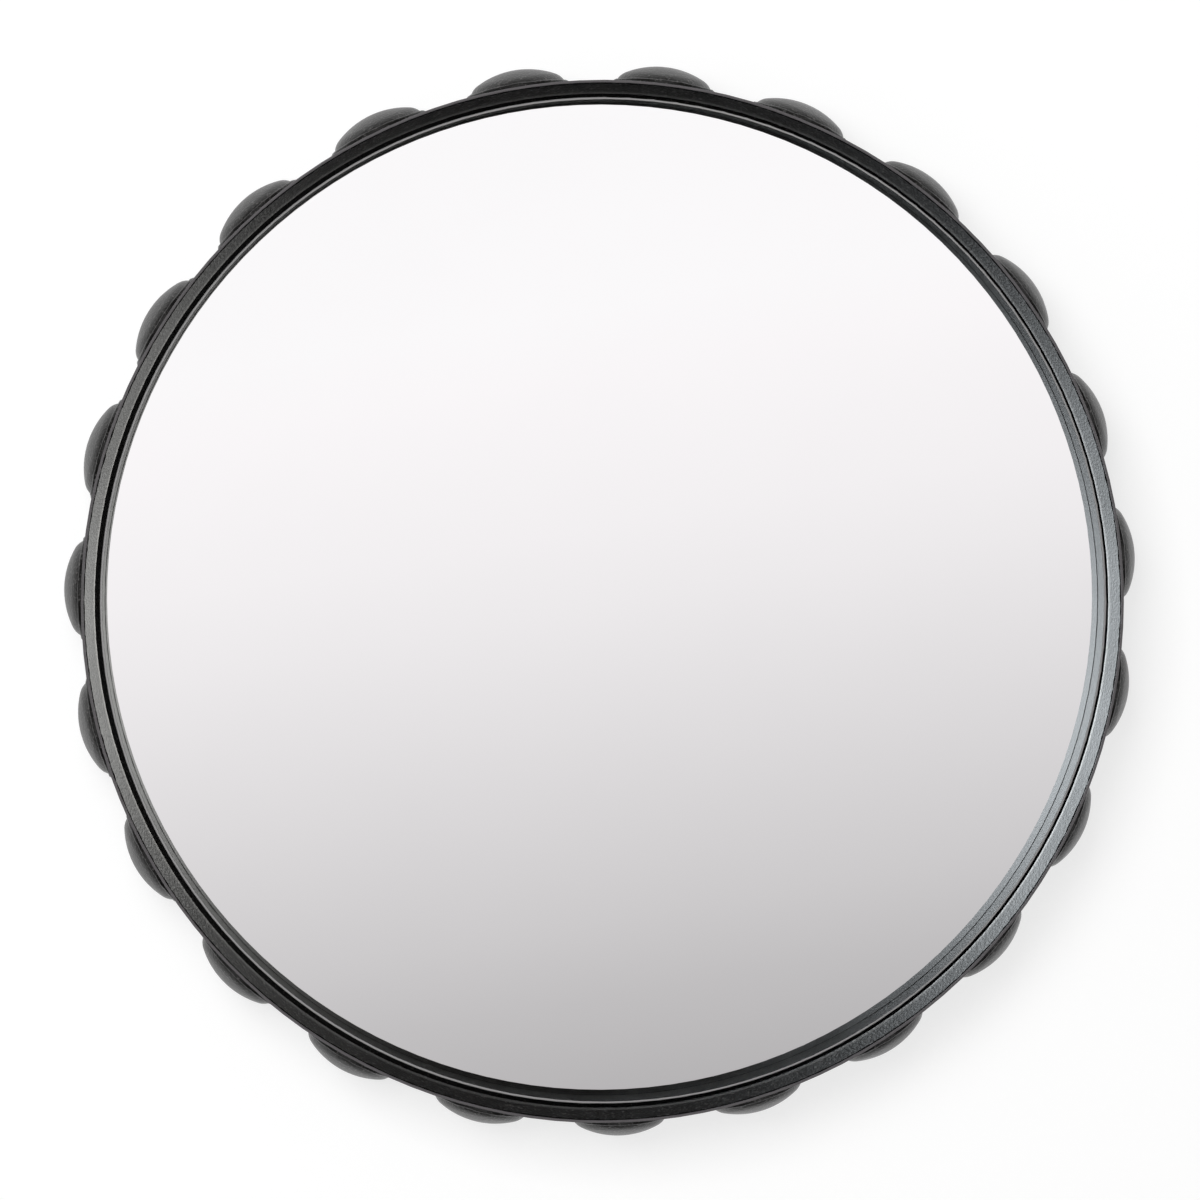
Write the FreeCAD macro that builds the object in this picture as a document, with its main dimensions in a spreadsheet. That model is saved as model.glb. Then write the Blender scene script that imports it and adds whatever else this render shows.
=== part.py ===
import FreeCAD, Part
import math
import os

import Sketcher

# Round wall mirror in a black steel frame with hollow domes round the outside.
# The wall is the plane Y = 0 and the mirror looks along -Y. Z is up, X is to the right seen from
# the front, and the origin is the middle of the back rim. Angles run clockwise from the top.

SIZES = [
    ("band_radius", "287.4", "outside of the rolled band"),
    ("band_wall", "1.5", "sheet of the band"),
    ("edge_round", "0.5", "rounding of the band's and the hoop's front edges"),
    ("dome_count", "23", "domes round the band"),
    ("dome_first_angle", "6.8", "angle of the first dome, degrees"),
    ("dome_step_share", "0.995", "step between domes as a share of an even one"),
    ("closing_gap_count", "3", "last gaps of the ring, which share what the steps leave over"),
    ("dome_height", "10.9", "tip of a dome above the band"),
    ("dome_radius", "27.3", "half the width of a dome at its foot"),
    ("dome_crown", "47.1", "radius of the dome's crown"),
    ("dome_shoulder", "10.2", "radius between the crown and the foot"),
    ("dome_wall", "1.2", "sheet of a dome"),
    ("brim_width", "1.6", "turned-out brim round a dome's foot"),
    ("brim_wall", "1.4", "thickness of the brim"),
    ("brim_margin", "1.1", "band left bare in front of and behind a brim"),
    ("liner_setback", "0.8", "front edge of the liner behind the band's front edge"),
    ("liner_run", "12", "depth of the liner"),
    ("liner_inset", "5.35", "how far the liner slants in over its depth"),
    ("liner_wall", "1.2", "sheet of the liner"),
    ("shadow_gap", "1.45", "open gap between the liner and the mirror hoop"),
    ("lip_depth", "16.8", "front edge of the mirror hoop behind the band's front edge"),
    ("hoop_wall", "1.5", "thickness of the mirror hoop"),
    ("hoop_shift", "1.1", "how far the mirror hoop sits to the right of the band's middle"),
    ("glass_recess", "24.5", "glass behind the front edge of the mirror hoop"),
    ("glass_thick", "4", "thickness of the mirror glass"),
    ("glass_arris", "0.2", "ground corner round the front of the glass"),
    ("rim_play", "0.15", "room round the glass and the board inside the hoop"),
    ("tape_thick", "1", "foam tape between the glass and the board"),
    ("tape_width", "25", "width of a tape strip"),
    ("tape_length", "360", "length of a tape strip"),
    ("tape_pitch", "130", "distance between tape strips"),
    ("tape_count", "3", "tape strips side by side"),
    ("board_thick", "6", "thickness of the backing board"),
    ("back_ring_wall", "1.5", "sheet of the back ring"),
    ("ledge_width", "16", "back ring inside the mirror hoop, which the board sits on"),
    ("board_screw_count", "8", "screws through the ledge into the board"),
    ("screw_radius", "1.75", "shank of every screw"),
    ("screw_play", "0.35", "room round a shank in sheet metal"),
    ("screw_head_radius", "3.6", "pan head of every screw"),
    ("screw_head_height", "2.2", "height of the pan head"),
    ("screw_head_round", "1.2", "rounding of the pan head"),
    ("screw_bite", "4.5", "length of a screw inside the board"),
    ("hanger_spacing", "320", "distance between the two hangers"),
    ("hanger_rise", "130", "hanger eyes above the middle of the mirror"),
    ("strap_width", "13", "width of a hanger strap"),
    ("strap_wall", "1.2", "sheet of a hanger strap"),
    ("strap_length", "44", "strap below the middle of its eye"),
    ("strap_hole_top", "25", "upper screw below the eye"),
    ("strap_hole_pitch", "12", "distance between the strap's screws"),
    ("eye_lift", "0.5", "step that lifts the eye off the board"),
    ("eye_play", "0.06", "room round the ring's wire in the eye"),
    ("wire_radius", "1.5", "wire of the D-ring"),
    ("ring_bend", "4", "bend of the D-ring beside the eye, at the wire's middle"),
    ("ring_side_play", "0.5", "straight wire left bare beside the eye"),
    ("ring_leg", "2", "straight leg of the D-ring between its bends"),
]

doc = FreeCAD.newDocument("round_mirror")
sheet = doc.addObject("Spreadsheet::Sheet", "Sizes")
for row, (alias, number, note) in enumerate(SIZES, start=1):
    sheet.set(f"A{row}", note)
    sheet.set(f"B{row}", number)
    sheet.setAlias(f"B{row}", alias)
doc.recompute()

# Places that several pieces share, worked out from the sheet. Names ending in _Y are along the
# mirror's axis from the wall, and names ending in _R are radii from that axis.
BRIM_R = "(Sizes.dome_radius + Sizes.brim_width)"
FRONT_Y = f"(-2 * ({BRIM_R} + Sizes.brim_margin))"
BAND_IN_R = "(Sizes.band_radius - Sizes.band_wall)"
LINER_EDGE_R = f"({BAND_IN_R} - Sizes.liner_inset)"
HOOP_OUT_R = f"({LINER_EDGE_R} - Sizes.shadow_gap)"
HOOP_IN_R = f"({HOOP_OUT_R} - Sizes.hoop_wall)"
PANE_R = f"({HOOP_IN_R} - Sizes.rim_play)"
LEDGE_R = f"({HOOP_IN_R} - Sizes.ledge_width)"
LIP_Y = f"({FRONT_Y} + Sizes.lip_depth)"
GLASS_Y = f"({LIP_Y} + Sizes.glass_recess)"
TAPE_Y = f"({GLASS_Y} + Sizes.glass_thick)"
BOARD_Y = f"({TAPE_Y} + Sizes.tape_thick)"
LEDGE_Y = f"({BOARD_Y} + Sizes.board_thick)"
RING_BACK_Y = f"({LEDGE_Y} + Sizes.back_ring_wall)"
BOARD_SCREW_R = f"({HOOP_IN_R} - Sizes.ledge_width / 2)"
SCREW_HOLE_R = "(Sizes.screw_radius + Sizes.screw_play)"
EYE_R = "(Sizes.wire_radius + Sizes.eye_play)"
EYE_OUT_R = f"({EYE_R} + Sizes.strap_wall)"
EYE_Y = f"({LEDGE_Y} + Sizes.eye_lift + {EYE_OUT_R})"

UP = FreeCAD.Vector(0, 0, 1)
ALONG_Y = FreeCAD.Vector(0, 1, 0)


def value(expression):
    """The number that an expression on the sheet gives now."""
    return float(sheet.evalExpression(expression))


def new_body(name):
    body = doc.addObject("PartDesign::Body", name)
    body.Label = name
    return body


def new_group(name):
    """A body that holds several separate solids."""
    body = new_body(name)
    body.AllowCompound = True
    return body


def new_sketch(body, plane_role, name):
    """A sketch on one of the body's own origin planes."""
    sketch = body.newObject("Sketcher::SketchObject", name)
    plane = next(f for f in body.Origin.OriginFeatures if f.Role == plane_role)
    sketch.AttachmentSupport = [(plane, "")]
    sketch.MapMode = "FlatFace"
    return sketch


def bind(sketch, kind, *where, to):
    """Add one measured constraint and tie it to an expression on the sheet."""
    index = sketch.addConstraint(Sketcher.Constraint(kind, *where, value(to)))
    name = f"size_{index}"
    sketch.renameConstraint(index, name)
    sketch.setExpression(f"Constraints.{name}", to)


def draw_polygon(sketch, corners):
    """A closed outline of straight lines whose corners are pairs of expressions."""
    points = [FreeCAD.Vector(value(x), value(y), 0) for x, y in corners]
    lines = []
    for start, end in zip(points, points[1:] + points[:1]):
        lines.append(sketch.addGeometry(Part.LineSegment(start, end)))
    for line, following in zip(lines, lines[1:] + lines[:1]):
        sketch.addConstraint(Sketcher.Constraint("Coincident", line, 2, following, 1))
    for line, (x, y) in zip(lines, corners):
        bind(sketch, "DistanceX", line, 1, to=x)
        bind(sketch, "DistanceY", line, 1, to=y)


def draw_box(sketch, low_x, high_x, low_y, high_y):
    draw_polygon(sketch, [(low_x, low_y), (high_x, low_y), (high_x, high_y), (low_x, high_y)])


def draw_circle(sketch, x, y, radius):
    centre = FreeCAD.Vector(value(x), value(y), 0)
    circle = sketch.addGeometry(Part.Circle(centre, UP, value(radius)))
    bind(sketch, "DistanceX", circle, 3, to=x)
    bind(sketch, "DistanceY", circle, 3, to=y)
    bind(sketch, "Radius", circle, to=radius)


def draw_line(sketch, start, end):
    """A line whose two ends are pairs of expressions."""
    points = [FreeCAD.Vector(value(x), value(y), 0) for x, y in (start, end)]
    line = sketch.addGeometry(Part.LineSegment(*points))
    for number, (x, y) in enumerate((start, end), start=1):
        bind(sketch, "DistanceX", line, number, to=x)
        bind(sketch, "DistanceY", line, number, to=y)
    return line


def draw_bend(sketch, before, after, centre):
    """A clockwise bend about a centre, from the end of one line to the start of another."""
    middle = FreeCAD.Vector(value(centre[0]), value(centre[1]), 0)
    spokes = [sketch.Geometry[after].StartPoint - middle, sketch.Geometry[before].EndPoint - middle]
    angles = [math.atan2(spoke.y, spoke.x) for spoke in spokes]
    circle = Part.Circle(middle, UP, spokes[0].Length)
    bend = sketch.addGeometry(Part.ArcOfCircle(circle, *angles))
    sketch.addConstraint(Sketcher.Constraint("Coincident", bend, 1, after, 1))
    sketch.addConstraint(Sketcher.Constraint("Coincident", bend, 2, before, 2))
    bind(sketch, "DistanceY", bend, 3, to=centre[1])


def turn(body, kind, sketch, axis):
    """Revolve a sketch right round one of its own axes, adding or cutting."""
    feature = body.newObject(f"PartDesign::{kind}", f"{sketch.Name}_turned")
    feature.Profile = sketch
    feature.ReferenceAxis = (sketch, [axis])
    feature.Angle = 360
    return feature


def extrude(body, kind, sketch, length, midplane=False, reverse=False):
    """Pad or pocket a sketch by a length from the sheet."""
    feature = body.newObject(f"PartDesign::{kind}", f"{sketch.Name}_extruded")
    feature.Profile = sketch
    feature.setExpression("Length", length)
    feature.Midplane = midplane
    feature.Reversed = reverse
    return feature


def round_edges(body, feature, radius, chosen):
    """Fillet the edges of a feature that the function chosen picks."""
    doc.recompute()
    edges = [f"Edge{i}" for i, edge in enumerate(feature.Shape.Edges, start=1) if chosen(edge)]
    fillet = body.newObject("PartDesign::Fillet", f"{feature.Name}_rounded")
    fillet.Base = (feature, edges)
    fillet.setExpression("Radius", radius)


def circle_at(y):
    """Picks the full circles that lie in the plane at y."""
    height = value(y)

    def chosen(edge):
        box = edge.BoundBox
        return edge.isClosed() and box.YLength < 1e-6 and abs(box.YMin - height) < 1e-6

    return chosen


def ring(name, corners):
    """A piece turned about the mirror's axis. The corners are radius and place along Y."""
    body = new_body(name)
    section = new_sketch(body, "XY_Plane", f"{name}_section")
    draw_polygon(section, corners)
    return body, turn(body, "Revolution", section, "V_Axis")


def box_corners(low_r, high_r, front_y, back_y):
    return [(low_r, front_y), (high_r, front_y), (high_r, back_y), (low_r, back_y)]


# Outer band: flat strip rolled into a hoop. Its back edge lies on the wall.
band, band_turned = ring("outer_band", box_corners(BAND_IN_R, "Sizes.band_radius", FRONT_Y, "0"))
round_edges(band, band_turned, "Sizes.edge_round", circle_at(FRONT_Y))


# Domes: hollow pressed caps on the outside of the band. Each one is drawn pointing up, with its
# middle at half the band's depth, and is then turned to its place about the mirror's axis.
DOME_Y = f"({FRONT_Y} / 2)"
TIP_R = "(Sizes.band_radius + Sizes.dome_height)"
CROWN_CENTRE = f"({TIP_R} - Sizes.dome_crown)"
SHOULDER_OUT = "(Sizes.dome_radius - Sizes.dome_shoulder)"
CROWN_LESS = "(Sizes.dome_crown - Sizes.dome_shoulder)"
SHOULDER_CENTRE = f"({CROWN_CENTRE} + sqrt({CROWN_LESS}^2 - {SHOULDER_OUT}^2))"
FOOT_BOTTOM = f"({SHOULDER_CENTRE} - Sizes.dome_shoulder)"


def dome_section(body, name, inset):
    """Half section of the cap, filled to its own axis and set in by a wall's thickness."""
    sketch = new_sketch(body, "XZ_Plane", name)
    crown_r = f"(Sizes.dome_crown - {inset})"
    shoulder_r = f"(Sizes.dome_shoulder - {inset})"
    side = f"(Sizes.dome_radius - {inset})"
    crown_mid = FreeCAD.Vector(0, value(CROWN_CENTRE), 0)
    shoulder_mid = FreeCAD.Vector(value(SHOULDER_OUT), value(SHOULDER_CENTRE), 0)
    slope = (shoulder_mid - crown_mid).normalize()
    meet = crown_mid + slope * value(crown_r)
    top = crown_mid + FreeCAD.Vector(0, value(crown_r), 0)
    spring = shoulder_mid + FreeCAD.Vector(value(shoulder_r), 0, 0)
    foot = FreeCAD.Vector(value(side), value(FOOT_BOTTOM), 0)
    foot_mid = FreeCAD.Vector(0, value(FOOT_BOTTOM), 0)
    half_crown = crown_mid + ((meet - crown_mid) + (top - crown_mid)).normalize() * value(crown_r)
    bulge = (meet - shoulder_mid) + (spring - shoulder_mid)
    half_shoulder = shoulder_mid + bulge.normalize() * value(shoulder_r)
    crown = sketch.addGeometry(Part.Arc(meet, half_crown, top))
    shoulder = sketch.addGeometry(Part.Arc(spring, half_shoulder, meet))
    wall = sketch.addGeometry(Part.LineSegment(foot, spring))
    floor = sketch.addGeometry(Part.LineSegment(foot_mid, foot))
    axis = sketch.addGeometry(Part.LineSegment(top, foot_mid))
    sketch.addConstraint(Sketcher.Constraint("Tangent", shoulder, 2, crown, 1))
    sketch.addConstraint(Sketcher.Constraint("Tangent", wall, 2, shoulder, 1))
    sketch.addConstraint(Sketcher.Constraint("Coincident", floor, 2, wall, 1))
    sketch.addConstraint(Sketcher.Constraint("Coincident", axis, 2, floor, 1))
    sketch.addConstraint(Sketcher.Constraint("Coincident", crown, 2, axis, 1))
    sketch.addConstraint(Sketcher.Constraint("Vertical", wall))
    sketch.addConstraint(Sketcher.Constraint("Horizontal", floor))
    sketch.addConstraint(Sketcher.Constraint("Vertical", axis))
    bind(sketch, "DistanceX", floor, 1, to="0")
    bind(sketch, "DistanceY", floor, 1, to=FOOT_BOTTOM)
    bind(sketch, "DistanceX", wall, 1, to=side)
    bind(sketch, "DistanceX", crown, 3, to="0")
    bind(sketch, "DistanceY", crown, 3, to=CROWN_CENTRE)
    bind(sketch, "Radius", crown, to=crown_r)
    bind(sketch, "Radius", shoulder, to=shoulder_r)
    return sketch


def dome(number, angle):
    name = f"dome_{number:02d}"
    body = new_body(name)
    brim = new_sketch(body, "XY_Plane", f"{name}_brim")
    draw_circle(brim, "0", "0", BRIM_R)
    extrude(body, "Pad", brim, TIP_R)
    above = new_sketch(body, "YZ_Plane", f"{name}_above_brim")
    draw_box(above, f"-{BRIM_R} * 2", f"{BRIM_R} * 2", "Sizes.band_radius + Sizes.brim_wall",
             f"{TIP_R} * 2")
    turn(body, "Groove", above, "H_Axis")
    turn(body, "Revolution", dome_section(body, f"{name}_outside", "0"), "V_Axis")
    turn(body, "Groove", dome_section(body, f"{name}_hollow", "Sizes.dome_wall"), "V_Axis")
    seat = new_sketch(body, "YZ_Plane", f"{name}_seat")
    draw_box(seat, f"-{BRIM_R} * 2", f"{BRIM_R} * 2", "0", "Sizes.band_radius")
    turn(body, "Groove", seat, "H_Axis")
    body.Placement = FreeCAD.Placement(FreeCAD.Vector(), FreeCAD.Rotation(ALONG_Y, 1))
    body.setExpression("Placement.Base.y", DOME_Y)
    body.setExpression("Placement.Rotation.Angle", f"{angle} * 1deg")


DOME_COUNT = round(value("Sizes.dome_count"))
EVEN_STEPS = DOME_COUNT - round(value("Sizes.closing_gap_count"))
DOME_STEP = "(360 / Sizes.dome_count * Sizes.dome_step_share)"
CLOSING_STEP = f"((360 - {EVEN_STEPS} * {DOME_STEP}) / Sizes.closing_gap_count)"
for place in range(DOME_COUNT):
    steps = min(place, EVEN_STEPS)
    closing = place - steps
    at_angle = f"(Sizes.dome_first_angle + {steps} * {DOME_STEP} + {closing} * {CLOSING_STEP})"
    dome(place + 1, at_angle)


# Liner ring: narrow strip welded inside the band's front edge, slanting in and back. Its radial
# width is the sheet measured square to the slant.
LINER_FRONT_Y = f"({FRONT_Y} + Sizes.liner_setback)"
LINER_BACK_Y = f"({LINER_FRONT_Y} + Sizes.liner_run)"
LINER_ACROSS = "(Sizes.liner_wall * sqrt(1 + (Sizes.liner_inset / Sizes.liner_run)^2))"
LINER_WELD_Y = f"({LINER_FRONT_Y} + {LINER_ACROSS} * Sizes.liner_run / Sizes.liner_inset)"
ring("liner_ring", [
    (BAND_IN_R, LINER_FRONT_Y),
    (BAND_IN_R, LINER_WELD_Y),
    (f"{LINER_EDGE_R} + {LINER_ACROSS}", LINER_BACK_Y),
    (LINER_EDGE_R, LINER_BACK_Y),
])


# Mirror hoop: plain hoop round the glass, standing on the back ring. Its front edge is the lip. It is
# tacked in a little off the middle, so the gap beside the liner is wider on the left.
hoop, hoop_turned = ring("mirror_hoop", box_corners(HOOP_IN_R, HOOP_OUT_R, LIP_Y, LEDGE_Y))
round_edges(hoop, hoop_turned, "Sizes.edge_round", circle_at(LIP_Y))
hoop.setExpression("Placement.Base.x", "Sizes.hoop_shift")


# Mirror glass: float glass disc, silvered on its back, with a ground corner round the front.
pane, _ = ring("mirror_glass", [
    ("0", GLASS_Y),
    (f"{PANE_R} - Sizes.glass_arris", GLASS_Y),
    (PANE_R, f"{GLASS_Y} + Sizes.glass_arris"),
    (PANE_R, TAPE_Y),
    ("0", TAPE_Y),
])
pane.setExpression("Placement.Base.x", "Sizes.hoop_shift")


# Foam tape: upright strips side by side that bond the glass to the board.
tape = new_group("glass_tape")
tape.setExpression("Placement.Base.y", TAPE_Y)
for strip in range(round(value("Sizes.tape_count"))):
    middle = f"({strip} - (Sizes.tape_count - 1) / 2) * Sizes.tape_pitch"
    outline = new_sketch(tape, "XZ_Plane", f"tape_strip_{strip + 1}")
    draw_box(outline, f"{middle} - Sizes.tape_width / 2", f"{middle} + Sizes.tape_width / 2",
             "-Sizes.tape_length / 2", "Sizes.tape_length / 2")
    extrude(tape, "Pad", outline, "Sizes.tape_thick", reverse=True)


# Places of the screws, as pairs of expressions for X and Z.
HANGER_SIDES = {"left": "(-Sizes.hanger_spacing / 2)", "right": "(Sizes.hanger_spacing / 2)"}
STRAP_HOLES = ["(-Sizes.strap_hole_top)", "(-Sizes.strap_hole_top - Sizes.strap_hole_pitch)"]
HANGER_SCREWS = [(x, f"(Sizes.hanger_rise + {hole_z})")
                 for x in HANGER_SIDES.values() for hole_z in STRAP_HOLES]
BOARD_SCREWS = []
for place in range(round(value("Sizes.board_screw_count"))):
    at_angle = f"({place} * 360deg / Sizes.board_screw_count)"
    BOARD_SCREWS.append((f"{BOARD_SCREW_R} * sin{at_angle}", f"{BOARD_SCREW_R} * cos{at_angle}"))


# Backing board: fibreboard disc inside the hoop, drilled from behind for the screws. It is drawn
# from its back face.
board = new_body("backing_board")
board.setExpression("Placement.Base.y", LEDGE_Y)
disc = new_sketch(board, "XZ_Plane", "board_disc")
draw_circle(disc, "Sizes.hoop_shift", "0", PANE_R)
extrude(board, "Pad", disc, "Sizes.board_thick")
pilots = new_sketch(board, "XZ_Plane", "board_pilots")
for x, z in HANGER_SCREWS + BOARD_SCREWS:
    draw_circle(pilots, x, z, "Sizes.screw_radius")
extrude(board, "Pocket", pilots, "Sizes.screw_bite", reverse=True)


# Back ring: flat ring welded across the band, behind the board. The hoop stands on it, and its
# inner part is the ledge that the board is screwed to.
back = new_body("back_ring")
back.setExpression("Placement.Base.y", LEDGE_Y)
flat = new_sketch(back, "XZ_Plane", "back_ring_flat")
draw_circle(flat, "0", "0", BAND_IN_R)
draw_circle(flat, "0", "0", LEDGE_R)
extrude(back, "Pad", flat, "Sizes.back_ring_wall", reverse=True)
screw_holes = new_sketch(back, "XZ_Plane", "back_ring_holes")
for x, z in BOARD_SCREWS:
    draw_circle(screw_holes, x, z, SCREW_HOLE_R)
extrude(back, "Pocket", screw_holes, "Sizes.back_ring_wall")


def screws(name, seat_y, places, sheet_wall):
    """Pan-head screws with their heads on a sheet at seat_y and their shanks in the board."""
    body = new_group(name)
    body.setExpression("Placement.Base.y", seat_y)
    shanks = new_sketch(body, "XZ_Plane", f"{name}_shanks")
    heads = new_sketch(body, "XZ_Plane", f"{name}_heads")
    for x, z in places:
        draw_circle(shanks, x, z, "Sizes.screw_radius")
        draw_circle(heads, x, z, "Sizes.screw_head_radius")
    extrude(body, "Pad", shanks, f"{sheet_wall} + Sizes.screw_bite")
    head = extrude(body, "Pad", heads, "Sizes.screw_head_height", reverse=True)
    round_edges(body, head, "Sizes.screw_head_round", circle_at("Sizes.screw_head_height"))


# Board screws: through the ledge of the back ring into the board.
screws("board_screws", RING_BACK_Y, BOARD_SCREWS, "Sizes.back_ring_wall")


def hanger_strap(side, x):
    """Steel strap flat on the board, rolled into an eye at its upper end and rounded at its lower."""
    body = new_body(f"hanger_strap_{side}")
    body.setExpression("Placement.Base.x", x)
    body.setExpression("Placement.Base.y", LEDGE_Y)
    body.setExpression("Placement.Base.z", "Sizes.hanger_rise")
    half = "(Sizes.strap_width / 2)"
    end_z = f"({half} - Sizes.strap_length)"
    plate = new_sketch(body, "XZ_Plane", f"strap_plate_{side}")
    draw_box(plate, f"-{half}", half, end_z, "0")
    extrude(body, "Pad", plate, "Sizes.strap_wall", reverse=True)
    end = new_sketch(body, "XZ_Plane", f"strap_end_{side}")
    draw_circle(end, "0", end_z, half)
    extrude(body, "Pad", end, "Sizes.strap_wall", reverse=True)
    eye = new_sketch(body, "YZ_Plane", f"strap_eye_{side}")
    draw_circle(eye, f"Sizes.eye_lift + {EYE_OUT_R}", "0", EYE_OUT_R)
    extrude(body, "Pad", eye, "Sizes.strap_width", midplane=True)
    bore = new_sketch(body, "YZ_Plane", f"strap_bore_{side}")
    draw_circle(bore, f"Sizes.eye_lift + {EYE_OUT_R}", "0", EYE_R)
    extrude(body, "Pocket", bore, "Sizes.strap_width", midplane=True)
    holes = new_sketch(body, "XZ_Plane", f"strap_holes_{side}")
    for hole_z in STRAP_HOLES:
        draw_circle(holes, "0", hole_z, SCREW_HOLE_R)
    extrude(body, "Pocket", holes, "Sizes.strap_wall")


def hanger_ring(side, x):
    """D-ring of round wire: its straight bar turns in the eye, and it hangs down over the strap."""
    body = new_body(f"hanger_ring_{side}")
    body.setExpression("Placement.Base.x", x)
    body.setExpression("Placement.Base.y", EYE_Y)
    body.setExpression("Placement.Base.z", "Sizes.hanger_rise")
    bar = "(Sizes.strap_width / 2 + Sizes.ring_side_play)"
    reach = f"({bar} + Sizes.ring_bend)"
    leg_top = "(-Sizes.ring_bend)"
    leg_end = "(-Sizes.ring_bend - Sizes.ring_leg)"
    path = new_sketch(body, "XZ_Plane", f"ring_path_{side}")
    bar_right = draw_line(path, ("0", "0"), (bar, "0"))
    leg_right = draw_line(path, (reach, leg_top), (reach, leg_end))
    leg_left = draw_line(path, (f"-{reach}", leg_end), (f"-{reach}", leg_top))
    bar_left = draw_line(path, (f"-{bar}", "0"), ("0", "0"))
    draw_bend(path, bar_right, leg_right, (bar, leg_top))
    draw_bend(path, leg_right, leg_left, ("0", leg_end))
    draw_bend(path, leg_left, bar_left, (f"-{bar}", leg_top))
    wire = new_sketch(body, "YZ_Plane", f"ring_wire_{side}")
    draw_circle(wire, "0", "0", "Sizes.wire_radius")
    pipe = body.newObject("PartDesign::AdditivePipe", f"ring_bent_{side}")
    pipe.Profile = wire
    pipe.Spine = (path, [f"Edge{i}" for i in range(1, path.GeometryCount + 1)])


# Hangers: a strap and a D-ring on each side, held to the board by two screws each.
for hanger_side, side_x in HANGER_SIDES.items():
    hanger_strap(hanger_side, side_x)
    hanger_ring(hanger_side, side_x)
screws("hanger_screws", f"{LEDGE_Y} + Sizes.strap_wall", HANGER_SCREWS, "Sizes.strap_wall")


doc.recompute()
failed = [item.Name for item in doc.Objects if {"Invalid", "Error"} & set(item.State)]
if failed:
    raise RuntimeError(f"these objects did not build: {failed}")
pieces = [item for item in doc.Objects if item.TypeId == "PartDesign::Body"]
for piece in pieces:
    if piece.Shape.isNull() or not piece.Shape.isValid():
        raise RuntimeError(f"{piece.Label} has no valid shape")
os.makedirs("parts", exist_ok=True)
for piece in pieces:
    piece.Shape.exportStep(f"parts/{piece.Label}.step")
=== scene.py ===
import bpy
import math
from mathutils import Matrix, Vector


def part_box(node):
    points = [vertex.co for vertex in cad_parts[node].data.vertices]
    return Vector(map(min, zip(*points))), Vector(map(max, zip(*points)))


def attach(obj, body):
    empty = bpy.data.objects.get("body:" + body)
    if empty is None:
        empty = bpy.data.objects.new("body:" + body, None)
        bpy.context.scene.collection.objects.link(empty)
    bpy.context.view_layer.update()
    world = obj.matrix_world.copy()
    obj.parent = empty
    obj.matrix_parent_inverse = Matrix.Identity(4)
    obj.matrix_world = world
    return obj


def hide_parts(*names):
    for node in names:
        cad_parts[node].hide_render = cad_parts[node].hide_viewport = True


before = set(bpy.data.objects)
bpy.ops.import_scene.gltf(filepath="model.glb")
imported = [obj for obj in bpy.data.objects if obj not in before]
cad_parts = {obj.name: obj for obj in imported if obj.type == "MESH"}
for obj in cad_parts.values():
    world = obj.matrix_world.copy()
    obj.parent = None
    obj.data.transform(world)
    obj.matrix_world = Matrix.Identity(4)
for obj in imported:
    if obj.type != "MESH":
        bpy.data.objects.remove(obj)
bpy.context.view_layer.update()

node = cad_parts
bpy.ops.object.select_all(action="DESELECT")

# Outer band: flat mild steel strip, 1.5 mm thick, rolled into a hoop and welded shut.
# It is powder coated satin black, and its front edge is painted a lighter grey, a painted highlight for
# light caught on the edge.

FRONT_Y = -0.060
BAND_HIGHLIGHT_DEPTH = 0.0006
# Painted highlight: the lighter grey of the front edge.
BAND_HIGHLIGHT_GREY = "#565355"

COAT_BLACK = "#0a0908"
COAT_THICK = "#0f0d0c"    # where the powder has built up
GRAIN_HIGHLIGHT_GREY = "#4c4a49"         # painted highlight on the tops of the grain
GRAIN_MM = 1.5            # real grain is about 0.4 mm, drawn coarser so that it shows
GRAIN_HEIGHT = 0.00032
PEEL_MM = 6.0
PEEL_HEIGHT = 0.0002
MOTTLE_MM = 45.0
POWDER_IOR = 1.5
POWDER_SPECULAR = 0.7
FULL_HIGHLIGHT_PARTS = 6            # the outermost sixth of a painted highlight strip takes its full colour


def linear(hex_code):
    channels = [int(hex_code[i:i + 2], 16) / 255 for i in (1, 3, 5)]
    return tuple(c / 12.92 if c <= 0.04045 else ((c + 0.055) / 1.055) ** 2.4 for c in channels) + (1.0,)


def per_metre(size_mm):
    return 1000 / size_mm


def add_node(tree, kind, inputs=None, **settings):
    new = tree.nodes.new(kind)
    for name, setting in settings.items():
        setattr(new, name, setting)
    for name, source in (inputs or {}).items():
        if isinstance(source, bpy.types.NodeSocket):
            tree.links.new(source, new.inputs[name])
        else:
            new.inputs[name].default_value = source
    return new


def blank_material(name):
    material = bpy.data.materials.new(name)
    material.use_nodes = True
    material.node_tree.nodes.clear()
    return material, material.node_tree


def dress(obj, material):
    obj.data.materials.clear()
    obj.data.materials.append(material)
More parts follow.
